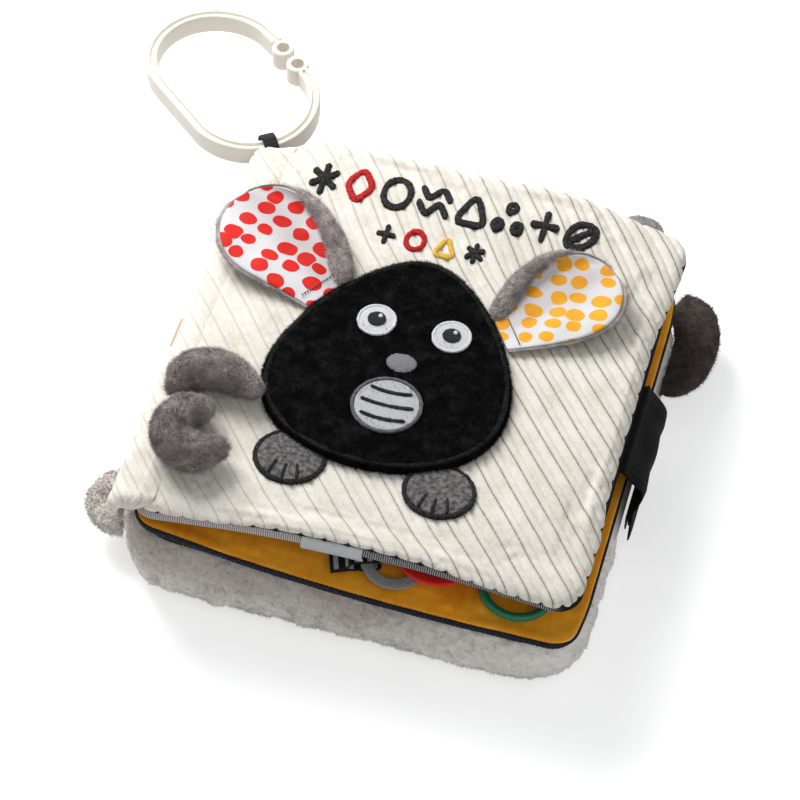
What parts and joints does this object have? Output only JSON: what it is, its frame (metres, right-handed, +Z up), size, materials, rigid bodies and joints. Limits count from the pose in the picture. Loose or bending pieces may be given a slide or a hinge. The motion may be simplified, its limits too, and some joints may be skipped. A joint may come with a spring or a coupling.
{
  "type": "soft cloth activity book",
  "caption": "soft padded cloth book with a ribbed plush cover, lifting ears and tail, a velour page, teether rings on tabs, a closing strap and a clip-on link ring",
  "frame": {"origin": "on the table plane under the middle of the page stack, half way between its top and bottom edges", "axes": "+X from the spine to the fore edge, +Y towards the book's top edge, +Z up out of the front cover"},
  "size_m": [0.2643, 0.2672, 0.0746],
  "materials": {
    "fleece": "curly beige sherpa fleece",
    "wadding": "white polyester wadding",
    "striped_cotton": "fine black and white striped cotton",
    "overlock_black": "close black overlock stitching",
    "overlock_navy": "close dark navy overlock stitching",
    "velour_mustard": "short mustard yellow velour",
    "satin_black": "black satin weave",
    "crinkle_film": "thin crackling film",
    "plush_cream": "cream short-pile plush, sewn in channels",
    "plush_black": "black short-pile plush",
    "plush_grey": "grey short-pile plush",
    "plush_dark": "dark brown-grey plush",
    "plush_grey_pale": "pale grey plush",
    "thread_white": "white embroidery",
    "thread_black": "black embroidery",
    "thread_grey": "mid grey embroidery",
    "thread_pale": "pale grey embroidery",
    "cotton_red_spots": "white cotton printed with red spots",
    "cotton_yellow_spots": "white cotton printed with yellow spots",
    "ribbon_tan": "tan woven ribbon",
    "ribbon_black": "black woven tape",
    "ribbon_striped": "black tape with pale squares",
    "felt_grey": "thick grey felt",
    "felt_red": "thick red felt",
    "silicone_green": "satin dark green silicone rubber",
    "plastic_cream": "moulded cream plastic"
  },
  "bodies": {
    "back_cover": {"back_cover_fleece": "fleece", "back_cover_wadding": "wadding", "back_cover_lining": "striped_cotton", "back_cover_edging": "overlock_black", "strap_loop_patch": "satin_black", "spine_ribbon_tab": "ribbon_tan", "hang_loop": "ribbon_black"},
    "page": {"page_velour": "velour_mustard", "page_wadding": "wadding", "page_crinkle_film": "crinkle_film", "page_backing": "satin_black", "page_edging": "overlock_navy", "toy_band": "ribbon_striped", "green_ring_tab": "satin_black", "spine_fleece_strip": "fleece"},
    "front_cover": {"front_cover_plush": "plush_cream", "front_cover_wadding": "wadding", "front_cover_lining": "striped_cotton", "front_cover_edging": "overlock_black", "body_patch": "plush_black", "eye_left": "thread_white", "eye_right": "thread_white", "pupil_left": "thread_black", "pupil_right": "thread_black", "nose": "thread_grey", "belly_patch": "thread_pale", "paw_left": "plush_grey_pale", "paw_right": "plush_grey_pale", "spine_cream_strip": "plush_cream"},
    "left_ear": {"left_ear_plush": "plush_grey", "left_ear_lining": "cotton_red_spots"},
    "right_ear": {"right_ear_plush": "plush_grey", "right_ear_lining": "cotton_yellow_spots"},
    "tail": {"tail_arm": "plush_grey", "tail_curl": "plush_grey"},
    "strap": {"closing_strap": "satin_black", "strap_hook_patch": "satin_black"},
    "side_ear": {"side_ear_plush": "plush_dark", "side_ear_lining": "plush_grey_pale"},
    "leg_tab": {"top_leg": "plush_grey_pale", "top_leg_hoof": "plush_dark"},
    "tuft": {"fleece_tuft": "fleece"},
    "grey_ring": {"grey_felt_ring": "felt_grey"},
    "red_ring": {"red_felt_ring": "felt_red"},
    "green_ring_body": {"green_ring": "silicone_green"},
    "link": {"link_ring": "plastic_cream"}
  },
  "joints": [
    {"name": "page_turn", "type": "hinge", "parent": "back_cover", "child": "page", "pos_m": [-0.0845, 0, 0.0385], "axis": [0, -1, 0], "range_deg": [0, 85], "deforming": ["spine_fleece_strip"]},
    {"name": "cover_turn", "type": "hinge", "parent": "page", "child": "front_cover", "pos_m": [-0.0845, 0, 0.048], "axis": [0, -1, 0], "range_deg": [0, 92], "deforming": ["spine_cream_strip"]},
    {"name": "left_ear_lift", "type": "hinge", "parent": "front_cover", "child": "left_ear", "pos_m": [-0.03713, 0.02245, 0.06], "axis": [0.559, 0.8292, 0], "range_deg": [0, 110]},
    {"name": "right_ear_lift", "type": "hinge", "parent": "front_cover", "child": "right_ear", "pos_m": [0.03113, 0.02245, 0.06], "axis": [0.5591, -0.8291, 0], "range_deg": [0, 110]},
    {"name": "tail_lift", "type": "hinge", "parent": "front_cover", "child": "tail", "pos_m": [-0.05, -0.0345, 0.0653], "axis": [-0.406, 0.9139, 0], "range_deg": [0, 80]},
    {"name": "strap_open", "type": "hinge", "parent": "front_cover", "child": "strap", "pos_m": [0.0919, -0.001, 0.0494], "axis": [0, -1, 0], "range_deg": [0, 110]},
    {"name": "side_ear_lift", "type": "hinge", "parent": "back_cover", "child": "side_ear", "pos_m": [0.09351, 0.0705, 0.015], "axis": [0, -1, 0], "range_deg": [0, 60]},
    {"name": "leg_lift", "type": "hinge", "parent": "back_cover", "child": "leg_tab", "pos_m": [0.067, 0.0968, 0.0135], "axis": [1, 0, 0], "range_deg": [0, 60]},
    {"name": "tuft_lift", "type": "hinge", "parent": "back_cover", "child": "tuft", "pos_m": [-0.0913, -0.066, 0.015], "axis": [0, 1, 0], "range_deg": [0, 30]},
    {"name": "link_swing", "type": "hinge", "parent": "back_cover", "child": "link", "pos_m": [-0.08641, 0.10159, 0.04435], "axis": [0.8235, 0.5672, 0], "range_deg": [-25, 80]},
    {"name": "grey_ring_turn", "type": "hinge", "parent": "page", "child": "grey_ring", "pos_m": [0.01781, -0.078, 0.03993], "axis": [0.1467, -0.1954, 0.9697], "continuous": true},
    {"name": "red_ring_turn", "type": "hinge", "parent": "page", "child": "red_ring", "pos_m": [0.03307, -0.07246, 0.03926], "axis": [0.0049, 0.1954, 0.9807], "continuous": true},
    {"name": "green_ring_turn", "type": "hinge", "parent": "page", "child": "green_ring_body", "pos_m": [0.06475, -0.0745, 0.03546], "axis": [0.0773, -0.0802, 0.9938], "continuous": true}
  ]
}
